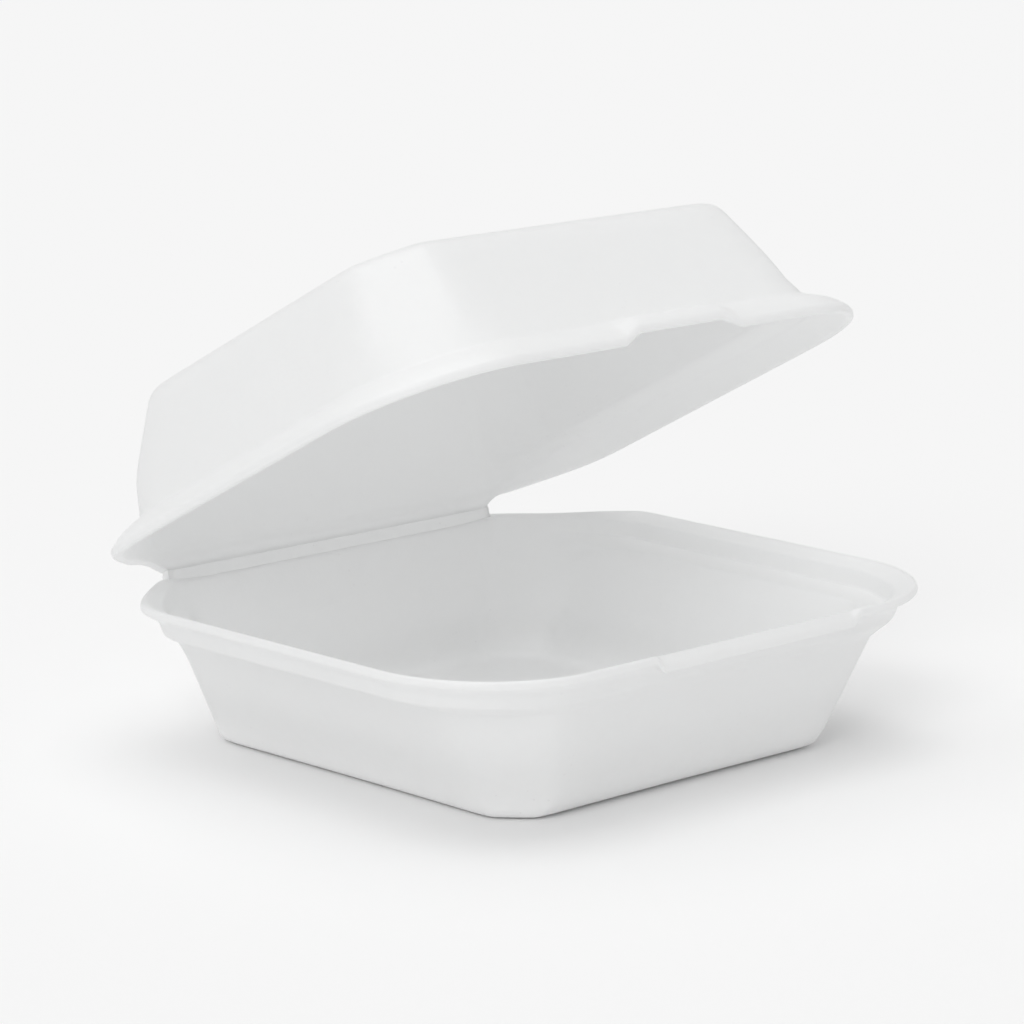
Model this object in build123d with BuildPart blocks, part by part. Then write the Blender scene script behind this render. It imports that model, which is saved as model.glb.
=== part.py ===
"""A foam clamshell food container: a square tray and a lid, moulded as one sheet and joined at a pressed crease.

The frame: +Z up, the crease runs along X at the back (+Y), the closure is at the front (-Y), and the origin is on
the table under the middle of the tray. The lid is drawn in a frame of its own, with its origin on the crease, X
along the crease, Y towards the back and Z away from the tray. That frame stands open by the lid's resting angle.

A section point of a rim is three lengths: how far it lies inside the side lip's edge, how far inside the front
lip's edge, and how far it is from the lip plane.
"""

import math
import os

from build123d import *

os.makedirs("parts", exist_ok=True)

# Driving sizes, in millimetres and degrees.
RIM_WIDTH = 150.0  # across the lips, along X
TRAY_FRONT = 67.5  # from the middle of the base to the tray's front lip
TRAY_HEIGHT = 35.0  # from the table to the top of the tray's lip
LID_HEIGHT = 34.2  # from the lid's lip plane to its flat top
LID_FRONT = 63.6  # from the middle of the base to the lid's front lip, with the lid level
CREASE_Y = 62.6  # from the middle of the base to the crease
CREASE_DROP = 1.3  # from the tray's lip plane down to the crease
LID_RISE = 3.2  # from the crease up to the lid's lip plane
LID_ANGLE = 28.0  # how far the lid stands open from level
SHEET = 2.2  # thickness of the foam sheet
CREASE_GAP = 0.3  # room between the two halves at the crease
CREASE_WIDTH = 100.0

# The tray's walls.
BASE_INSET = (26.0, 18.2)  # the base's edge, inside the side and the front lip
BASE_BACK = 49.3
HEEL_INSET = (22.7, 12.6)  # the top of the rounded heel round the base
HEEL_BACK = 54.8
HEEL_HEIGHT = 5.0
WALL_INSET = (11.8, 6.6)  # the foot of the rim's ledge
WALL_DROP = 9.4
BACK_DRAFT = 0.12  # how far the back wall leans out for each millimetre of height
FLARE_HEIGHT = 12.0  # the part of the back wall that leans out to the crease
BASE_RADII = (11.0, 11.0)  # the corners at the front and at the back
HEEL_RADII = (20.0, 22.0)
WALL_RADII = (25.0, 28.0)

# The tray's rim: a ledge, a short step and a lip that flares.
LIP_BACK = 52.5  # the back end of the tray's side lips
LIP_RADII = (31.0, 21.0)
LIP_EDGE = 1.6  # the height of the lip's edge
LIP_ROUND = 0.3  # how far the edge leans in
LEDGE_EDGE = (4.2, 4.2, 6.9)
LIP_ROOT = (3.2, 3.2, 3.5)
LEDGE_INNER = (13.2, 8.2, 7.1)
STEP_FOOT = (5.6, 5.6, 5.1)
LIP_INNER = (4.4, 4.4, 1.9)
LIP_TOP = (1.3, 1.3, 0.0)

# The lid.
SKIRT_FOOT = (7.0, 4.0, 6.4)  # where the wall meets the skirt that flares to the lip
SKIRT_INNER = (8.7, 5.9, 5.0)
SKIRT_LIP = (1.9, 1.3, 0.0)
SHOULDER_INSET = (18.5, 16.1)
SHOULDER_BACK = 47.0
SHOULDER_DROP = 1.6  # from the flat top down to the shoulder
TOP_ROUND = 4.5  # how far the flat top lies inside the shoulder
STRIP_LEAN = 0.6  # how far the strip above the crease leans in
STRIP_LEDGE = 2.0  # the rise and the depth of the ledge between that strip and the back wall
LID_BACK = 57.5  # the back end of the lid's side lips
LID_LIP_RADII = (31.0, 20.0)
LID_WALL_RADII = (27.0, 22.0)
SHOULDER_RADII = (19.0, 16.0)

# The closure near the middle of the front lips.
TRAY_LOCK_X = 6.0  # the middle of the tray's sloping face
LID_LOCK_X = 3.5  # the middle of the lid's step
TRAY_LOCK_WIDTH = 60.0
TRAY_LOCK_CREST = 1.9  # how far the crest lies inside the lip's edge
TRAY_LOCK_DROP = 2.6  # from the crest down to the edge of its sloping face
LID_LOCK_WIDTH = 35.0
LID_LOCK_STEP = 2.3
LID_LOCK_RAMP = 5.0

BURY = 0.12  # the share by which a rim's first sloping face runs on into the wall that carries it

half_width = RIM_WIDTH / 2
half_gap = CREASE_GAP / 2
crease_edge = CREASE_Y - half_gap
crease_height = TRAY_HEIGHT - CREASE_DROP
overshoot = 1.0  # how far a cavity runs past the lip plane
wall_cut = SHEET * 1.12  # the sheet's thickness measured level, through a leaning wall


def between(start, end, share):
    """The point at a share of the way from start to end, number by number."""
    return tuple(a + (b - a) * share for a, b in zip(start, end))


def ring(frame, height, sizes):
    """A face at a height in the frame: a rectangle with rounded corners. front and back are its two Y edges."""
    half_x, front, back, front_radius, back_radius = sizes
    corners = [(-half_x, front), (half_x, front), (half_x, back), (-half_x, back)]
    radii = [front_radius, front_radius, back_radius, back_radius]
    with BuildSketch(frame.offset(height)) as outline:
        with BuildLine():
            FilletPolyline(*corners, radius=radii, close=True)
        make_face()
    return outline.sketch.face()


def section(plane, points):
    """A face with straight sides on a plane."""
    with BuildSketch(plane) as outline:
        with BuildLine():
            Polyline(*points, close=True)
        make_face()
    return outline.sketch.face()


def stack(frame, rings, mode=Mode.ADD):
    """Runs a solid straight from each ring to the next. A ring is its height in the frame and its sizes."""
    for low, high in zip(rings, rings[1:]):
        loft([ring(frame, *low), ring(frame, *high)], ruled=True, mode=mode)


def shrink(sizes, inset):
    """The sizes of a ring moved in by inset."""
    half_x, front, back, front_radius, back_radius = sizes
    return half_x - inset, front + inset, back - inset, front_radius - inset / 2, back_radius - inset / 2


# ---- The tray's rings ----

base_ring = (half_width - BASE_INSET[0], BASE_INSET[1] - TRAY_FRONT, BASE_BACK, *BASE_RADII)
heel_ring = (half_width - HEEL_INSET[0], HEEL_INSET[1] - TRAY_FRONT, HEEL_BACK, *HEEL_RADII)
floor_ring = shrink(between(base_ring, heel_ring, SHEET / HEEL_HEIGHT), wall_cut)
wall_top = TRAY_HEIGHT - WALL_DROP
crease_top = crease_height - half_gap
flare_foot = crease_top - FLARE_HEIGHT


def tray_wall(height):
    """The outer ring of the tray's wall at a height above the heel."""
    share = (height - HEEL_HEIGHT) / (wall_top - HEEL_HEIGHT)
    side, front = between(HEEL_INSET, WALL_INSET, share)
    back = HEEL_BACK + BACK_DRAFT * (min(height, flare_foot) - HEEL_HEIGHT)
    if height > flare_foot:
        back += (crease_edge - back) * (height - flare_foot) / FLARE_HEIGHT
    radii = between(HEEL_RADII, WALL_RADII, min(share, 1))
    return half_width - side, front - TRAY_FRONT, back, *radii


def tray_rim(*points):
    """The rings of the tray's rim at its section points, with their heights. They end short of the crease."""
    return [
        (
            TRAY_HEIGHT - drop,
            (
                half_width - side,
                front - TRAY_FRONT,
                LIP_BACK - side,
                LIP_RADII[0] - side / 2,
                LIP_RADII[1] - side / 2,
            ),
        )
        for side, front, drop in points
    ]


# ---- The tray ----

above_lip = between(LIP_INNER, LIP_TOP, 1 + overshoot / LIP_INNER[2])
lip_top_edge = (LIP_ROUND, LIP_ROUND, 0)
lip_side = (0, 0, LIP_EDGE)
ledge_foot = between(LEDGE_EDGE, (*WALL_INSET, WALL_DROP), 1 + BURY)
above_crease = crease_top + overshoot + CREASE_DROP

# The closure's section: points inside the tray's front lip and their heights.
crest = (TRAY_LOCK_CREST - TRAY_FRONT, TRAY_HEIGHT)
lock_edge = (-TRAY_FRONT, TRAY_HEIGHT - TRAY_LOCK_DROP)
lock_root = (LIP_ROOT[1] - TRAY_FRONT, TRAY_HEIGHT - LIP_ROOT[2])
lock_inner = (LIP_INNER[1] - TRAY_FRONT, TRAY_HEIGHT - LIP_INNER[2])
above_lock = TRAY_HEIGHT + overshoot
before_lock = -TRAY_FRONT - overshoot
lock_plane = Plane.YZ.offset(TRAY_LOCK_X)

with BuildPart() as tray:
    stack(
        Plane.XY,
        [
            (0, base_ring),
            (HEEL_HEIGHT, heel_ring),
            (flare_foot, tray_wall(flare_foot)),
            (crease_top, tray_wall(crease_top)),
        ],
    )
    stack(Plane.XY, tray_rim(ledge_foot, LEDGE_EDGE, LIP_ROOT, lip_side, lip_top_edge))
    # The hollow between the walls, then the hollow above the ledge.
    stack(
        Plane.XY,
        [
            (SHEET, floor_ring),
            (HEEL_HEIGHT, shrink(heel_ring, wall_cut)),
            (flare_foot, shrink(tray_wall(flare_foot), wall_cut)),
            (above_crease, shrink(tray_wall(above_crease), wall_cut)),
        ],
        Mode.SUBTRACT,
    )
    stack(Plane.XY, tray_rim(LEDGE_INNER, STEP_FOOT, LIP_INNER, above_lip), Mode.SUBTRACT)
    # The closure: at the middle of the front, the lip turns down into a sloping face.
    cut_points = [lock_edge, crest, (crest[0], above_lock), (before_lock, above_lock), (before_lock, lock_edge[1])]
    extrude(section(lock_plane, cut_points), TRAY_LOCK_WIDTH / 2, both=True, mode=Mode.SUBTRACT)
    extrude(section(lock_plane, [lock_edge, lock_root, lock_inner, crest]), TRAY_LOCK_WIDTH / 2, both=True)

tray.part.label = "tray"
export_step(tray.part, "parts/tray.step")

# ---- The lid's rings, with heights from the crease ----

open_angle = math.radians(LID_ANGLE)
lid_frame = Plane(
    origin=(0, CREASE_Y, crease_height),
    x_dir=(1, 0, 0),
    z_dir=(0, math.sin(open_angle), math.cos(open_angle)),
)
lid_top = LID_RISE + LID_HEIGHT
shoulder_height = lid_top - SHOULDER_DROP
foot_height = LID_RISE + SKIRT_FOOT[2]
ledge_height = LID_RISE + STRIP_LEDGE
strip_back = -half_gap - STRIP_LEAN
ledge_back = strip_back - STRIP_LEDGE
shoulder_back = SHOULDER_BACK - CREASE_Y
lid_front = -LID_FRONT - CREASE_Y
lid_back = LID_BACK - CREASE_Y


def lid_wall(height):
    """The outer ring of the lid's wall at a height. Its back edge follows the ledge above the crease's strip."""
    share = (height - foot_height) / (shoulder_height - foot_height)
    side, front = between(SKIRT_FOOT, SHOULDER_INSET, share)
    if height <= LID_RISE:
        back = strip_back
    else:
        back = ledge_back + (shoulder_back - ledge_back) * (height - ledge_height) / (shoulder_height - ledge_height)
    radii = between(LID_WALL_RADII, SHOULDER_RADII, max(share, 0))
    return half_width - side, front + lid_front, back, *radii


def lid_rim(*points):
    """The rings of the lid's rim at its section points, with their heights. They end short of the crease."""
    return [
        (
            LID_RISE + rise,
            (
                half_width - side,
                front + lid_front,
                lid_back - side,
                LID_LIP_RADII[0] - side / 2,
                LID_LIP_RADII[1] - side / 2,
            ),
        )
        for side, front, rise in points
    ]


def across(x):
    """The plane across the lid at x, on which a point is its distance along the lid and its height."""
    return Plane(origin=lid_frame.origin, x_dir=lid_frame.y_dir, z_dir=(1, 0, 0)).offset(x)


def lid_lock(x, lift):
    """The section of the lid's front skirt at x, lifted off the lip plane."""
    lip = [(LIP_ROUND, 0), (0, LIP_EDGE), SKIRT_FOOT[1:], SKIRT_INNER[1:], SKIRT_LIP[1:]]
    return section(across(x), [(lid_front + inset, LID_RISE + rise + lift) for inset, rise in lip])


# ---- The lid ----

shoulder_ring = lid_wall(shoulder_height)
strip_inside = LID_RISE - SHEET / 2
ledge_inside = ledge_height - SHEET / 2
shoulder_inside = shoulder_height - SHEET / 2
below_lip = between(SKIRT_INNER, SKIRT_LIP, 1 + overshoot / SKIRT_INNER[2])
lock_start = LID_LOCK_X - LID_LOCK_WIDTH / 2
lock_end = LID_LOCK_X + LID_LOCK_WIDTH / 2

with BuildPart() as lid:
    stack(
        lid_frame,
        [
            (LID_RISE, lid_wall(LID_RISE)),
            (ledge_height, lid_wall(ledge_height)),
            (foot_height, lid_wall(foot_height)),
            (shoulder_height, shoulder_ring),
            (lid_top, shrink(shoulder_ring, TOP_ROUND)),
        ],
    )
    stack(lid_frame, lid_rim(lip_top_edge, lip_side, between(lip_side, SKIRT_FOOT, 1 + BURY)))
    # The hollow between the walls, then the hollow inside the skirt.
    stack(
        lid_frame,
        [
            (-overshoot, shrink(lid_wall(LID_RISE), wall_cut)),
            (strip_inside, shrink(lid_wall(LID_RISE), wall_cut)),
            (ledge_inside, shrink(lid_wall(ledge_height), wall_cut)),
            (foot_height, shrink(lid_wall(foot_height), wall_cut)),
            (shoulder_inside, shrink(lid_wall(shoulder_inside), wall_cut)),
            (lid_top - SHEET, shrink(shoulder_ring, wall_cut + TOP_ROUND / 2)),
        ],
        Mode.SUBTRACT,
    )
    stack(lid_frame, lid_rim(below_lip, SKIRT_INNER), Mode.SUBTRACT)
    # The strip that stands on the crease and carries the back wall.
    strip_points = [
        (-half_gap, half_gap),
        (strip_back, LID_RISE),
        (strip_back - wall_cut, LID_RISE),
        (-half_gap - wall_cut, half_gap),
    ]
    extrude(section(across(0), strip_points), CREASE_WIDTH / 2, both=True)
    # The closure: the middle of the front skirt steps away from the tray, with a ramp at each end.
    cut_points = [
        (lid_front - overshoot, LID_RISE - overshoot),
        (lid_front - overshoot, foot_height),
        (lid_front + SKIRT_FOOT[1], foot_height),
        (lid_front + SKIRT_INNER[1], LID_RISE + SKIRT_INNER[2]),
        (lid_front + SKIRT_INNER[1], LID_RISE - overshoot),
    ]
    extrude(section(across(LID_LOCK_X), cut_points), LID_LOCK_WIDTH / 2, both=True, mode=Mode.SUBTRACT)
    lock_sections = [
        lid_lock(lock_start, 0),
        lid_lock(lock_start + LID_LOCK_RAMP, LID_LOCK_STEP),
        lid_lock(lock_end - LID_LOCK_RAMP, LID_LOCK_STEP),
        lid_lock(lock_end, 0),
    ]
    loft(lock_sections, ruled=True)

lid.part.label = "lid"
export_step(lid.part, "parts/lid.step")
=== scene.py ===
"""The foam clamshell container: smooth foam shells over the CAD frame, the photo's camera, soft light."""

import math

import bmesh
import bpy
import numpy as np
from mathutils import Matrix, Vector


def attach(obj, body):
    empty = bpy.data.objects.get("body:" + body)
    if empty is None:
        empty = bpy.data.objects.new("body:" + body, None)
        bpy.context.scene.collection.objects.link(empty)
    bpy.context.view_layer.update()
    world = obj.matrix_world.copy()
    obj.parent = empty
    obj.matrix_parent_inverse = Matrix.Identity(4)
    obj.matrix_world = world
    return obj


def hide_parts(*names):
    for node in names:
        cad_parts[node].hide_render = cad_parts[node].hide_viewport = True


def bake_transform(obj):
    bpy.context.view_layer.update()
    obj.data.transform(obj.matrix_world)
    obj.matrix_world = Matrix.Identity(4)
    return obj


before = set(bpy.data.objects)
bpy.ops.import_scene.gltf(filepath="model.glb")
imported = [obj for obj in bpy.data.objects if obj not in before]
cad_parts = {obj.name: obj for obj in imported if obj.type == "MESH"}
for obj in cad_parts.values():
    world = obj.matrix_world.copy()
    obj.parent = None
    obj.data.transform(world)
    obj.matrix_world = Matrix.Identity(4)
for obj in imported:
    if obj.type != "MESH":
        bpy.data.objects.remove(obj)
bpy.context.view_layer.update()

MM = 0.001

# Sizes of the CAD model, in millimetres and degrees.
HALF_WIDTH = 75.0
TRAY_FRONT = 67.5
TRAY_HEIGHT = 35.0
LID_HEIGHT = 34.2
LID_FRONT = 63.6
CREASE_Y = 62.6
CREASE_Z = 33.7
CREASE_HALF = 50.0
LID_RISE = 3.2
LID_ANGLE = 28.0
SHEET = 2.2
HALF_GAP = 0.15

# A level cut through a leaning wall is a little thicker than the sheet.
WALL_CUT = SHEET * 1.12

# How many points each stretch of a ring has, and each rounded edge of a section.
FRONT_COUNT, CORNER_COUNT, SIDE_COUNT, BACK_COUNT = 100, 22, 40, 60
EDGE_STEPS = 5
# How flat a wall's corner is in its middle: 0 is round, 1 has one flat face across the corner.
FACET = 0.62
SMALLEST_RADIUS = 0.05
# The most that one rounded edge takes of the stretch to its neighbour, and what an empty stretch counts as.
MOST_OF_STRETCH, EMPTY_STRETCH = 0.47, 1e-6

# A ring's sizes are its half width, front, back, front corner radius and back corner radius.


def smooth(value, start, end):
    """0 at start, 1 at end, smooth between them, for numbers or arrays."""
    t = np.clip((value - start) / (end - start), 0.0, 1.0)
    return t * t * (3 - 2 * t)


def mix(a, b, share):
    return a + (b - a) * share


def between(start, end, share):
    """mix for tuples of numbers."""
    return tuple(mix(a, b, share) for a, b in zip(start, end))


def shrink(sizes, inset):
    """Ring sizes, drawn in by an inset."""
    half_x, front, back, front_radius, back_radius = sizes
    return half_x - inset, front + inset, back - inset, front_radius - inset / 2, back_radius - inset / 2


def scaled(sizes, share):
    """Ring sizes, made smaller about the ring's middle."""
    half_x, front, back, front_radius, back_radius = sizes
    middle = (front + back) / 2
    half = (back - front) / 2 * share
    return half_x * share, middle - half, middle + half, front_radius * share, back_radius * share


def ring(half_x, front, back, front_radius, back_radius, z, facet=0.0):
    """Points round a rectangle with rounded corners, from its front left corner through the front, right, back
    and left. facet, 0 to 1, flattens the middle of each corner."""
    points = []

    def run(start, end, count):
        for i in range(count):
            points.append((*mix(np.array(start), np.array(end), i / count), z))

    def corner(cx, cy, radius, turn):
        for i in range(CORNER_COUNT):
            angle = 90 * i / CORNER_COUNT
            nearest = min(angle, abs(angle - 45), 90 - angle)
            reach = radius * (1 + facet * (1 / math.cos(math.radians(nearest)) - 1))
            a = math.radians(turn + angle)
            points.append((cx + reach * math.cos(a), cy + reach * math.sin(a), z))

    fr, br = max(front_radius, SMALLEST_RADIUS), max(back_radius, SMALLEST_RADIUS)
    run((-half_x + fr, front), (half_x - fr, front), FRONT_COUNT)
    corner(half_x - fr, front + fr, fr, -90)
    run((half_x, front + fr), (half_x, back - br), SIDE_COUNT)
    corner(half_x - br, back - br, br, 0)
    run((half_x - br, back), (-half_x + br, back), BACK_COUNT)
    corner(-half_x + br, back - br, br, 90)
    run((-half_x, back - br), (-half_x, front + fr), SIDE_COUNT)
    corner(-half_x + fr, front + fr, fr, 180)
    return np.array(points)


def wall(*sizes_and_height):
    """A ring of a wall, whose corners are a little flat in the middle."""
    return ring(*sizes_and_height, FACET)


def corner_share():
    """For each point of a ring: how far it is round a back corner towards the back, 0 to 1."""
    climb = [i / CORNER_COUNT for i in range(CORNER_COUNT)]
    fall = [1 - v for v in climb]
    return np.array(
        [0.0] * (FRONT_COUNT + CORNER_COUNT + SIDE_COUNT)
        + climb
        + [1.0] * BACK_COUNT
        + fall
        + [0.0] * (SIDE_COUNT + CORNER_COUNT)
    )


ROUND_SHARE = corner_share()[:, None]
MIDDLE_OF_BACK = FRONT_COUNT + 2 * CORNER_COUNT + SIDE_COUNT + BACK_COUNT // 2
ON_RIGHT = np.arange(len(ROUND_SHARE))[:, None] < MIDDLE_OF_BACK


def to_crease(rim, low, left, right):
    """The rim's ring, turning into the low ring round the back corners, over a stretch of each corner."""
    share = np.where(ON_RIGHT, smooth(ROUND_SHARE, *right), smooth(ROUND_SHARE, *left))
    return mix(rim, low, share)


def rounded(stations):
    """Rounds the section through the stations, which are pairs of a ring and a radius: a curve stands in for
    each inner ring whose radius isn't 0."""
    rings = [points for points, radius in stations]
    radii = [radius for points, radius in stations]

    def towards(here, other, radius):
        step = other - here
        length = np.maximum(np.linalg.norm(step, axis=1, keepdims=True), EMPTY_STRETCH)
        return here + step * np.minimum(radius / length, MOST_OF_STRETCH)

    out = [rings[0]]
    for before, here, after, radius in zip(rings, rings[1:], rings[2:], radii[1:]):
        if radius <= 0:
            out.append(here)
            continue
        first, last = towards(here, before, radius), towards(here, after, radius)
        for i in range(EDGE_STEPS + 1):
            t = i / EDGE_STEPS
            out.append((1 - t) ** 2 * first + 2 * t * (1 - t) * here + t * t * last)
    out.append(rings[-1])
    return out


def add_object(name, data):
    thing = bpy.data.objects.new(name, data)
    bpy.context.collection.objects.link(thing)
    return thing


def closed_piece(name, points, faces):
    """A closed mesh from points in millimetres, shaded smooth. Faces with over four corners are flat ends."""
    mesh = bpy.data.meshes.new(name)
    mesh.from_pydata((np.array(points) * MM).tolist(), [], faces)
    solid = bmesh.new()
    solid.from_mesh(mesh)
    bmesh.ops.recalc_face_normals(solid, faces=solid.faces)
    solid.to_mesh(mesh)
    solid.free()
    for polygon in mesh.polygons:
        polygon.use_smooth = len(polygon.vertices) <= 4
    return add_object(name, mesh)


def shell(name, rings, place):
    """A closed piece through rings of points, from the middle of the outside round the rim to the middle of
    the inside. place moves the points first."""
    count = len(rings[0])
    points = place(np.concatenate(rings))
    faces = []
    for k in range(len(rings) - 1):
        low, high = k * count, (k + 1) * count
        for i in range(count):
            j = (i + 1) % count
            faces.append((low + i, low + j, high + j, high + i))
    first_middle, last_middle = len(points), len(points) + 1
    last = (len(rings) - 1) * count
    for i in range(count):
        j = (i + 1) % count
        faces.append((first_middle, j, i))
        faces.append((last_middle, last + i, last + j))
    middles = [points[:count].mean(axis=0), points[-count:].mean(axis=0)]
    return closed_piece(name, np.concatenate([points, middles]), faces)


# ---- The tray, its heights from the base ----

BASE = (HALF_WIDTH - 26.0, 18.2 - TRAY_FRONT, 49.3, 11.0, 11.0)
# The outer wall at its heel and at its top: how far in from the tray's side and front, and its corner radii.
HEEL_INSETS, TOP_INSETS = (22.7, 12.6), (11.8, 6.6)
HEEL_RADII, TOP_RADII = (20.0, 22.0), (25.0, 28.0)
HEEL_HEIGHT, MIDDLE_HEIGHT, WALL_TOP = 5.0, 14.0, 25.6
HEEL_BACK, BACK_LEAN = 54.8, 0.12
# The back wall flares out to the crease.
FLARE_HEIGHT = 12.0
CREASE_TOP = CREASE_Z - HALF_GAP
FLARE_FOOT = CREASE_TOP - FLARE_HEIGHT
LIP_BACK = 52.5
LIP_RADII = (31.0, 21.0)
FLOOR_SHARES = (0.25, 0.6, 0.86)
# The inner floor's edge lies this far from the base's edge to the heel's.
INNER_FLOOR_SHARE = 0.44
INNER_HEEL_HEIGHT, INNER_WALL_TOP = HEEL_HEIGHT + 0.6, 25.0
# The wall's top edge at the crease is narrower than the sheet.
CREASE_EDGE = 0.6

# The rim's section, up its outside and down its inside. Each row: how far in from the tray's side, in from
# its front and down from the lip's top, then the height of the wall's ring that it turns into, and a radius.
RIM_OUTSIDE = (
    ((4.2, 4.2, 6.9), 28.1, 0.7),
    ((3.2, 3.2, 3.5), 30.9, 1.6),
    ((0.0, 0.0, 1.6), 33.0, 0.7),
)
RIM_INSIDE = (
    ((4.4, 4.4, 1.9), 33.2, 0.6),
    ((5.4, 5.4, 5.6), 30.5, 0.35),
    ((11.6, 8.0, 6.6), 27.4, 0.8),
)
# The stretch of each back corner, 0 to 1, in which the rim turns into the wall, as the photo shows it.
LEFT_TURN, RIGHT_TURN, INNER_LEFT_TURN = (0.25, 0.95), (0.06, 0.5), (0.0, 0.85)

# The closure: a sloping face in the front lip, a little off the middle.
SLOPE_MIDDLE, SLOPE_HALF, SLOPE_END = 6.0, 30.0, 1.2
SLOPE_DROP, SLOPE_DEPTH, SLOPE_LOWEST = 2.6, 1.9, 4.0
LIP_THICKNESS = 2.9


def tray_wall(z):
    """The tray's outer wall at a height, as ring sizes."""
    share = (z - HEEL_HEIGHT) / (WALL_TOP - HEEL_HEIGHT)
    side, front = between(HEEL_INSETS, TOP_INSETS, share)
    back = HEEL_BACK + BACK_LEAN * (min(z, FLARE_FOOT) - HEEL_HEIGHT)
    if z > FLARE_FOOT:
        back = mix(back, CREASE_Y - HALF_GAP, (z - FLARE_FOOT) / FLARE_HEIGHT)
    front_radius, back_radius = between(HEEL_RADII, TOP_RADII, min(share, 1))
    return HALF_WIDTH - side, front - TRAY_FRONT, back, front_radius, back_radius


def tray_lip(side, front, drop):
    """A ring of the tray's rim."""
    front_radius, back_radius = LIP_RADII
    return ring(
        HALF_WIDTH - side,
        front - TRAY_FRONT,
        LIP_BACK - side,
        front_radius - side / 2,
        back_radius - side / 2,
        TRAY_HEIGHT - drop,
    )


def tray_rings():
    heel = (HALF_WIDTH - HEEL_INSETS[0], HEEL_INSETS[1] - TRAY_FRONT, HEEL_BACK, *HEEL_RADII)
    inner_floor = shrink(between(BASE, heel, INNER_FLOOR_SHARE), WALL_CUT)

    def outside(z):
        return wall(*tray_wall(z), z)

    def inside(z):
        return wall(*shrink(tray_wall(z), WALL_CUT), z)

    outer_edge = wall(*tray_wall(CREASE_TOP), CREASE_TOP)
    inner_edge = wall(*shrink(tray_wall(CREASE_TOP), CREASE_EDGE), CREASE_TOP)
    stations = [(wall(*(v * share for v in BASE), 0.0), 0.0) for share in FLOOR_SHARES]
    stations += [
        (wall(*BASE, 0.0), 2.6),
        (wall(*heel, HEEL_HEIGHT), 5.0),
        (outside(MIDDLE_HEIGHT), 4.0),
        (outside(FLARE_FOOT), 3.0),
        (outside(WALL_TOP), 0.8),
    ]
    stations += [
        (to_crease(tray_lip(*point), outside(z), LEFT_TURN, RIGHT_TURN), radius)
        for point, z, radius in RIM_OUTSIDE
    ]
    stations += [
        (to_crease(tray_lip(0.3, 0.3, 0.0), outer_edge, LEFT_TURN, RIGHT_TURN), 0.7),
        (to_crease(tray_lip(1.3, 1.3, 0.0), inner_edge, LEFT_TURN, RIGHT_TURN), 0.6),
    ]
    stations += [
        (to_crease(tray_lip(*point), inside(z), INNER_LEFT_TURN, RIGHT_TURN), radius)
        for point, z, radius in RIM_INSIDE
    ]
    stations += [
        (inside(INNER_WALL_TOP), 1.2),
        (inside(FLARE_FOOT), 3.0),
        (inside(MIDDLE_HEIGHT), 4.0),
        (wall(*shrink(heel, WALL_CUT), INNER_HEEL_HEIGHT), 5.0),
        (wall(*inner_floor, SHEET), 3.0),
    ]
    stations += [(wall(*(v * share for v in inner_floor), SHEET), 0.0) for share in reversed(FLOOR_SHARES)]
    return rounded(stations)


def tray_place(points):
    """The closure: near the middle of the front, the lip turns down into a sloping face."""
    x, y, z = points.T
    left, right = SLOPE_MIDDLE - SLOPE_HALF, SLOPE_MIDDLE + SLOPE_HALF
    after_left = smooth(x, left - SLOPE_END, left + SLOPE_END)
    before_right = 1 - smooth(x, right - SLOPE_END, right + SLOPE_END)
    on_lip = (y < 0) & (z > TRAY_HEIGHT - LIP_THICKNESS)
    outwards = np.clip(1 - (y + TRAY_FRONT) / SLOPE_DEPTH, 0, 1)
    drop = SLOPE_DROP * outwards * after_left * before_right * on_lip
    lowered = np.where(drop > 0, np.maximum(z - drop, TRAY_HEIGHT - SLOPE_LOWEST), z)
    return np.stack([x, y, lowered], axis=1)


tray = shell("tray_foam", tray_rings(), tray_place)
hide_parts("tray")
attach(tray, "tray")

# ---- The lid, in its own frame: the origin on the crease, heights away from the tray ----

# The outer wall at its foot and its shoulder: how far in from the lid's side and front, and its corner radii.
FOOT_INSETS, SHOULDER_INSETS = (7.0, 4.0), (18.5, 16.1)
FOOT_RADII, SHOULDER_RADII = (27.0, 22.0), (19.0, 16.0)
SKIRT_HEIGHT = 6.4
LID_TOP = LID_RISE + LID_HEIGHT
SHOULDER_Z = LID_TOP - 1.6
LOW_Z, HIGH_Z = 18.0, 28.0
FOOT_Z = LID_RISE + SKIRT_HEIGHT
LEDGE_Z = LID_RISE + 2.0
# The strip above the crease stands back from the wall's foot, which reaches the crease.
STRIP_STEP = 0.6
STRIP_BACK = -HALF_GAP - STRIP_STEP
LEDGE_BACK = STRIP_BACK - 2.0
SHOULDER_BACK = 47.0 - CREASE_Y
LID_FRONT_Y = -LID_FRONT - CREASE_Y
LID_LIP_BACK = 57.5 - CREASE_Y
LID_LIP_RADII = (31.0, 20.0)
LID_SHARES = (0.25, 0.6, 0.88)
# How far the flat top's edge lies in from the shoulder.
TOP_INSET = 4.5
# Where round the back corners the lowest ring comes down to the crease, and where along X that ends.
FOLD_CORNER = (0.6, 1.0)
FOLD_END = (CREASE_HALF - 3, CREASE_HALF + 5)
LID_LEFT_TURN, LID_RIGHT_TURN = (0.4, 1.0), (0.3, 0.95)

# The closure: a lifted step in the front skirt, a little off the middle.
STEP_MIDDLE, STEP_HALF, STEP_END, STEP_LIFT = 3.5, 17.5, 5.0, 2.3
# The step fades out between these distances in from the lid's front, and between these heights.
STEP_DEPTHS = (2.0, 7.0)
STEP_HEIGHTS = (LID_RISE + 3.0, LID_RISE + 8.5)
# How much further in the far side stands than the near one: at the lip, the wall's foot and its shoulder.
FAR_LIP_SHIFT, FAR_FOOT_SHIFT, FAR_SHOULDER_SHIFT = 0.9, 5.8, 3.6
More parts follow.
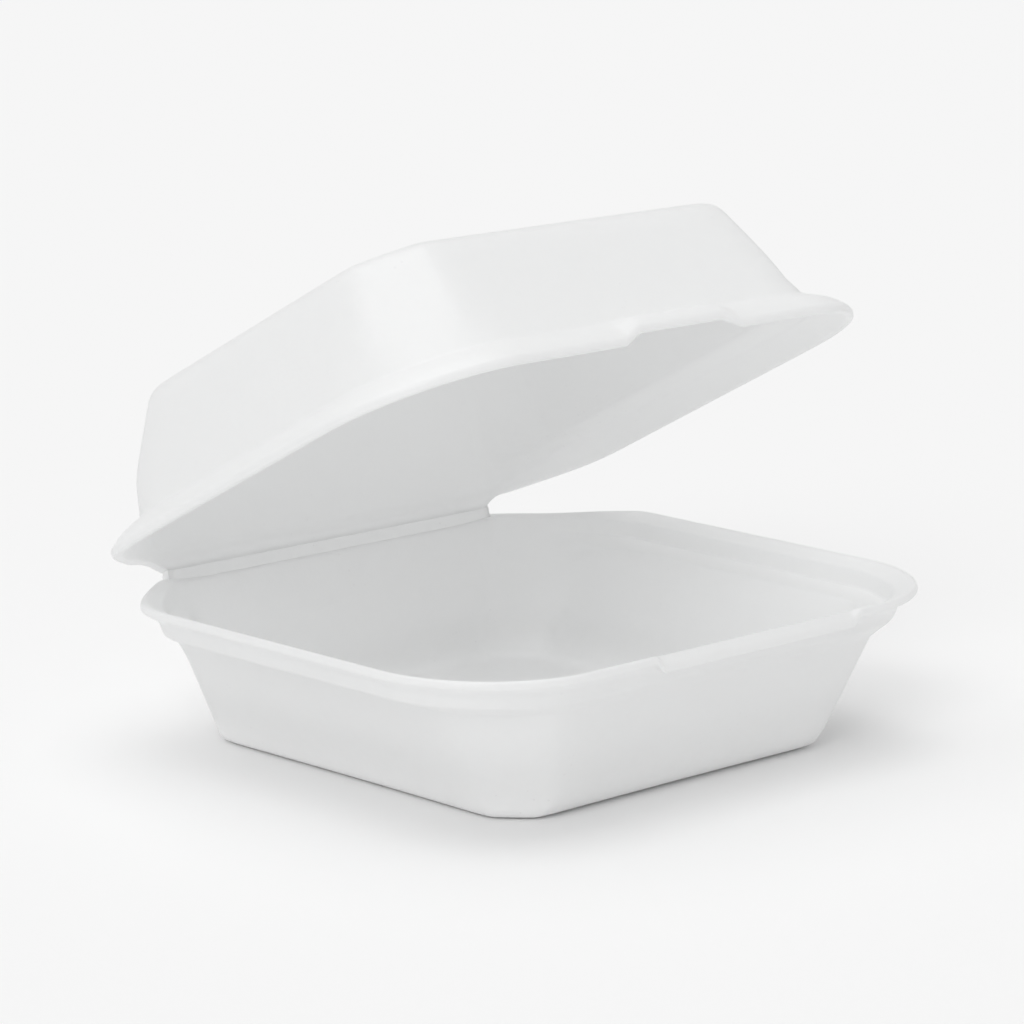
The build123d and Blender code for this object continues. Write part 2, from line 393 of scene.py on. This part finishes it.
# It starts and is complete at these places along X, and changes at the foot over this much either way.
FAR_START, FAR_END, FOOT_CHANGE = 15.0, 65.0, 1.5


def lid_wall(z):
    """The lid's outer wall at a height, as ring sizes."""
    share = (z - FOOT_Z) / (SHOULDER_Z - FOOT_Z)
    side, front = between(FOOT_INSETS, SHOULDER_INSETS, share)
    if z <= LID_RISE:
        back = STRIP_BACK
    elif z < LEDGE_Z:
        back = mix(STRIP_BACK, LEDGE_BACK, (z - LID_RISE) / (LEDGE_Z - LID_RISE))
    else:
        back = mix(LEDGE_BACK, SHOULDER_BACK, (z - LEDGE_Z) / (SHOULDER_Z - LEDGE_Z))
    front_radius, back_radius = between(FOOT_RADII, SHOULDER_RADII, max(share, 0))
    return HALF_WIDTH - side, front + LID_FRONT_Y, back, front_radius, back_radius


def lid_lip(side, front, rise):
    """A ring of the lid's rim."""
    front_radius, back_radius = LID_LIP_RADII
    return ring(
        HALF_WIDTH - side,
        front + LID_FRONT_Y,
        LID_LIP_BACK - side,
        front_radius - side / 2,
        back_radius - side / 2,
        LID_RISE + rise,
    )


def to_fold(points):
    """The wall's lowest ring, its back edge brought down and out to the crease."""
    round_back = smooth(ROUND_SHARE[:, 0], *FOLD_CORNER)
    off_crease = smooth(np.abs(points[:, 0]), *FOLD_END)
    share = round_back * (1 - off_crease)
    z = mix(points[:, 2], HALF_GAP, share)
    y = points[:, 1] + STRIP_STEP * (z < LID_RISE) * share
    return np.stack([points[:, 0], y, z], axis=1)


def lid_rings():
    shoulder = lid_wall(SHOULDER_Z)
    top = shrink(shoulder, TOP_INSET)
    inner_top = shrink(shoulder, WALL_CUT + TOP_INSET / 2)
    inner_shoulder_z = SHOULDER_Z - SHEET / 2

    def outside(z):
        return wall(*lid_wall(z), z)

    def inside(z, height=None):
        return wall(*shrink(lid_wall(z), WALL_CUT), z if height is None else height)

    # The rim's section, down its outside and up its inside. Each row: how far in from the side, in from the
    # front and up from the lip, then the ring that it turns into, and a radius.
    rim = (
        ((*FOOT_INSETS, SKIRT_HEIGHT), outside(FOOT_Z), 0.7),
        ((2.6, 1.5, 4.1), outside(LEDGE_Z), 1.6),
        ((0.0, 0.0, 1.6), outside(LID_RISE), 0.8),
        ((0.3, 0.3, 0.0), to_fold(outside(LID_RISE)), 0.5),
        ((1.9, 1.3, 0.0), to_fold(inside(LID_RISE)), 0.5),
        ((3.4, 2.4, 1.1), inside(LID_RISE, LID_RISE - 0.6), 0.8),
        ((8.7, 5.9, 5.0), inside(LEDGE_Z, LEDGE_Z - 1.0), 1.0),
    )
    stations = [(wall(*scaled(top, share), LID_TOP), 0.0) for share in LID_SHARES]
    stations += [
        (wall(*top, LID_TOP), 3.0),
        (wall(*shoulder, SHOULDER_Z), 3.0),
        (outside(HIGH_Z), 4.0),
        (outside(LOW_Z), 4.0),
    ]
    stations += [
        (to_crease(lid_lip(*point), low, LID_LEFT_TURN, LID_RIGHT_TURN), radius)
        for point, low, radius in rim
    ]
    stations += [
        (inside(FOOT_Z + 0.5), 1.4),
        (inside(LOW_Z), 4.0),
        (inside(HIGH_Z), 4.0),
        (inside(inner_shoulder_z, inner_shoulder_z - 0.6), 3.0),
        (wall(*inner_top, LID_TOP - SHEET), 3.0),
    ]
    stations += [(wall(*scaled(inner_top, share), LID_TOP - SHEET), 0.0) for share in reversed(LID_SHARES)]
    return rounded(stations)


def lid_place(points):
    """The closure's step in the skirt and the far side's shift, then the lid opened to its rest angle."""
    x, y, z = points.T
    left, right = STEP_MIDDLE - STEP_HALF, STEP_MIDDLE + STEP_HALF
    along = np.clip((x - left) / STEP_END, 0, 1) * np.clip((right - x) / STEP_END, 0, 1)
    near_front = 1 - smooth(y - LID_FRONT_Y, *STEP_DEPTHS)
    near_lip = 1 - smooth(z, *STEP_HEIGHTS)
    z = z + STEP_LIFT * along * near_front * near_lip
    at_foot = smooth(z, FOOT_Z - FOOT_CHANGE, FOOT_Z + FOOT_CHANGE)
    at_shoulder = smooth(z, FOOT_Z, SHOULDER_Z)
    shift = mix(FAR_LIP_SHIFT, FAR_FOOT_SHIFT, at_foot) + (FAR_SHOULDER_SHIFT - FAR_FOOT_SHIFT) * at_shoulder
    x = x - shift * smooth(x, FAR_START, FAR_END)
    a = math.radians(LID_ANGLE)
    opened_y = CREASE_Y + y * math.cos(a) + z * math.sin(a)
    opened_z = CREASE_Z - y * math.sin(a) + z * math.cos(a)
    return np.stack([x, opened_y, opened_z], axis=1)


lid = shell("lid_foam", lid_rings(), lid_place)
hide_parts("lid")
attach(lid, "lid")

# ---- The crease: a wedge of foam that fills the fold between the two halves ----

# Its section, how far out and up from the crease: up the inside of the fold, then down the outside.
WEDGE_INSIDE = (
    (-2.94, -1.5),
    (-2.92, -0.8),
    (-2.82, -0.3),
    (-2.55, 0.4),
    (-2.37, 1.0),
    (-2.24, 1.5),
    (-1.8, 2.3),
)
WEDGE_OUTSIDE = ((-1.0, 1.5), (-0.3, 0.3), (-0.25, 0.0), (-0.4, -0.4), (-1.6, -1.3))
WEDGE_COLUMNS = 51
WEDGE_HALF = CREASE_HALF - 1.0


def crease_wedge():
    outline = WEDGE_INSIDE + WEDGE_OUTSIDE
    count = len(outline)
    points, faces = [], []
    for column in range(WEDGE_COLUMNS):
        x = mix(-WEDGE_HALF, WEDGE_HALF, column / (WEDGE_COLUMNS - 1))
        points += [(x, CREASE_Y + out, CREASE_Z + up) for out, up in outline]
    for column in range(WEDGE_COLUMNS - 1):
        a, b = column * count, (column + 1) * count
        for i in range(count):
            j = (i + 1) % count
            faces.append((a + i, b + i, b + j, a + j))
    faces.append(tuple(range(count)))
    faces.append(tuple(reversed(range(len(points) - count, len(points)))))
    return closed_piece("crease_foam", points, faces)


crease = crease_wedge()
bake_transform(crease)

# ---- The foam ----


def add_node(tree, kind, **values):
    """A new node with these input values. An underscore stands for the space in an input's name."""
    node = tree.nodes.new(kind)
    for name, value in values.items():
        node.inputs[name.replace("_", " ")].default_value = value
    return node


def pattern(tree, where, kind, **values):
    """A texture in the object's own coordinates."""
    texture = add_node(tree, kind, **values)
    tree.links.new(where.outputs["Object"], texture.inputs["Vector"])
    return texture


def skin_normal(tree, where):
    """The bump of fine cells over broad, shallow waves."""
    cells = pattern(tree, where, "ShaderNodeTexVoronoi", Scale=1100.0)
    waves = pattern(tree, where, "ShaderNodeTexNoise", Scale=130.0, Detail=3.0)
    fine = add_node(tree, "ShaderNodeBump", Strength=0.05, Distance=0.0004)
    broad = add_node(tree, "ShaderNodeBump", Strength=0.035, Distance=0.0012)
    tree.links.new(cells.outputs["Distance"], fine.inputs["Height"])
    tree.links.new(waves.outputs["Fac"], broad.inputs["Height"])
    tree.links.new(fine.outputs["Normal"], broad.inputs["Normal"])
    return broad.outputs["Normal"]


def skin_colour(tree, where):
    """A faintly mottled white, with tiny pits in patches."""
    mottle = pattern(tree, where, "ShaderNodeTexNoise", Scale=420.0, Detail=4.0)
    white = tree.nodes.new("ShaderNodeValToRGB")
    darker, lighter = white.color_ramp.elements
    darker.position, darker.color = 0.3, (0.970, 0.973, 0.973, 1)
    lighter.position, lighter.color = 0.7, (0.982, 0.984, 0.983, 1)
    tree.links.new(mottle.outputs["Fac"], white.inputs["Fac"])

    pits = pattern(tree, where, "ShaderNodeTexVoronoi", Scale=420.0)
    patches = pattern(tree, where, "ShaderNodeTexNoise", Scale=55.0)
    reach = add_node(tree, "ShaderNodeMapRange", From_Min=0.48, From_Max=0.75, To_Min=0.0, To_Max=0.17)
    tree.links.new(patches.outputs["Fac"], reach.inputs["Value"])
    in_pit = tree.nodes.new("ShaderNodeMath")
    in_pit.operation = "LESS_THAN"
    tree.links.new(pits.outputs["Distance"], in_pit.inputs[0])
    tree.links.new(reach.outputs["Result"], in_pit.inputs[1])

    # A Mix node has sockets of the same names for numbers and for colours, so they are taken by index.
    mixed = tree.nodes.new("ShaderNodeMix")
    mixed.data_type = "RGBA"
    share, skin, pit = mixed.inputs[0], mixed.inputs[6], mixed.inputs[7]
    pit.default_value = (0.92, 0.92, 0.925, 1)
    tree.links.new(in_pit.outputs["Value"], share)
    tree.links.new(white.outputs["Color"], skin)
    return mixed.outputs[2]


def let_light_through(tree, where, skin):
    """Mixes the skin with a translucent shader: less at the base, which lies on what the tray stands on."""
    through = add_node(tree, "ShaderNodeBsdfTranslucent", Color=(0.97, 0.972, 0.972, 1))
    split = tree.nodes.new("ShaderNodeSeparateXYZ")
    share = add_node(tree, "ShaderNodeMapRange", From_Min=0.003, From_Max=0.011, To_Min=0.04, To_Max=0.40)
    mixed = tree.nodes.new("ShaderNodeMixShader")
    tree.links.new(where.outputs["Object"], split.inputs["Vector"])
    tree.links.new(split.outputs["Z"], share.inputs["Value"])
    tree.links.new(share.outputs["Result"], mixed.inputs["Fac"])
    tree.links.new(skin.outputs["BSDF"], mixed.inputs[1])
    tree.links.new(through.outputs["BSDF"], mixed.inputs[2])
    tree.links.new(mixed.outputs["Shader"], tree.nodes["Material Output"].inputs["Surface"])


def foam_material(name):
    """White expanded foam with a satin skin. Returns the material, its coordinates and its skin."""
    material = bpy.data.materials.new(name)
    material.use_nodes = True
    tree = material.node_tree
    skin = tree.nodes["Principled BSDF"]
    skin.inputs["Roughness"].default_value = 0.33
    skin.inputs["Specular IOR Level"].default_value = 0.42
    where = tree.nodes.new("ShaderNodeTexCoord")
    tree.links.new(skin_normal(tree, where), skin.inputs["Normal"])
    tree.links.new(skin_colour(tree, where), skin.inputs["Base Color"])
    return material, where, skin


# The thin walls let some light through, and the wedge doesn't.
foam, foam_where, foam_skin = foam_material("foam")
let_light_through(foam.node_tree, foam_where, foam_skin)
for piece in (tray, lid):
    piece.data.materials.append(foam)
crease.data.materials.append(foam_material("foam_fold")[0])

# ---- The floor ----

FLOOR_HALF = 6.0
FLOOR_DROP = 0.0002

floor_corners = [(-1, -1), (1, -1), (1, 1), (-1, 1)]
floor_mesh = bpy.data.meshes.new("floor")
floor_mesh.from_pydata([(x * FLOOR_HALF, y * FLOOR_HALF, 0) for x, y in floor_corners], [], [(0, 1, 2, 3)])
floor = add_object("floor", floor_mesh)
floor.location.z = -FLOOR_DROP
floor_material = bpy.data.materials.new("floor")
floor_material.use_nodes = True
floor_shader = floor_material.node_tree.nodes["Principled BSDF"]
floor_shader.inputs["Base Color"].default_value = (0.91, 0.91, 0.91, 1)
floor_shader.inputs["Roughness"].default_value = 1.0
floor_shader.inputs["Specular IOR Level"].default_value = 0.0
floor_mesh.materials.append(floor_material)

# ---- Light ----

world = bpy.data.worlds.new("studio")
bpy.context.scene.world = world
world.use_nodes = True
background = world.node_tree.nodes["Background"]
background.inputs["Color"].default_value = (1, 1, 1, 1)
background.inputs["Strength"].default_value = 0.548


def sun(name, place, strength, spread):
    """A sun that shines from a place towards the origin. Its spread, in degrees, softens its shadows."""
    light = bpy.data.lights.new(name, "SUN")
    light.energy = strength
    light.angle = math.radians(spread)
    thing = add_object(name, light)
    thing.location = place
    thing.rotation_euler = (-thing.location).to_track_quat("-Z", "Y").to_euler()


sun("top_sun", (-0.05, 0.20, 1.2), 1.10, 60)
sun("key_sun", (-0.75, -0.42, 0.56), 0.68, 26)

# ---- The camera, fitted to the photo ----

AZIMUTH, ELEVATION, ROLL = math.radians(-44.09), math.radians(12.14), math.radians(0.2)
DISTANCE = 0.9712
TARGET = Vector((-0.00218, -0.00042, 0.05143))

to_camera = Vector(
    (
        math.sin(AZIMUTH) * math.cos(ELEVATION),
        -math.cos(AZIMUTH) * math.cos(ELEVATION),
        math.sin(ELEVATION),
    )
)
camera_data = bpy.data.cameras.new("camera")
camera_data.lens = 156.9
camera_data.sensor_width = 36.0
camera_data.clip_start, camera_data.clip_end = 0.05, 50
camera = add_object("camera", camera_data)
place = Matrix.Translation(TARGET + to_camera * DISTANCE)
looking = (-to_camera).to_track_quat("-Z", "Y").to_matrix().to_4x4()
camera.matrix_world = place @ looking @ Matrix.Rotation(ROLL, 4, "Z")
scene = bpy.context.scene
scene.camera = camera
scene.view_settings.view_transform = "Standard"

# Light crosses the translucent walls and the inside many times.
scene.cycles.max_bounces = 10
scene.cycles.diffuse_bounces = 8
scene.cycles.transmission_bounces = 8
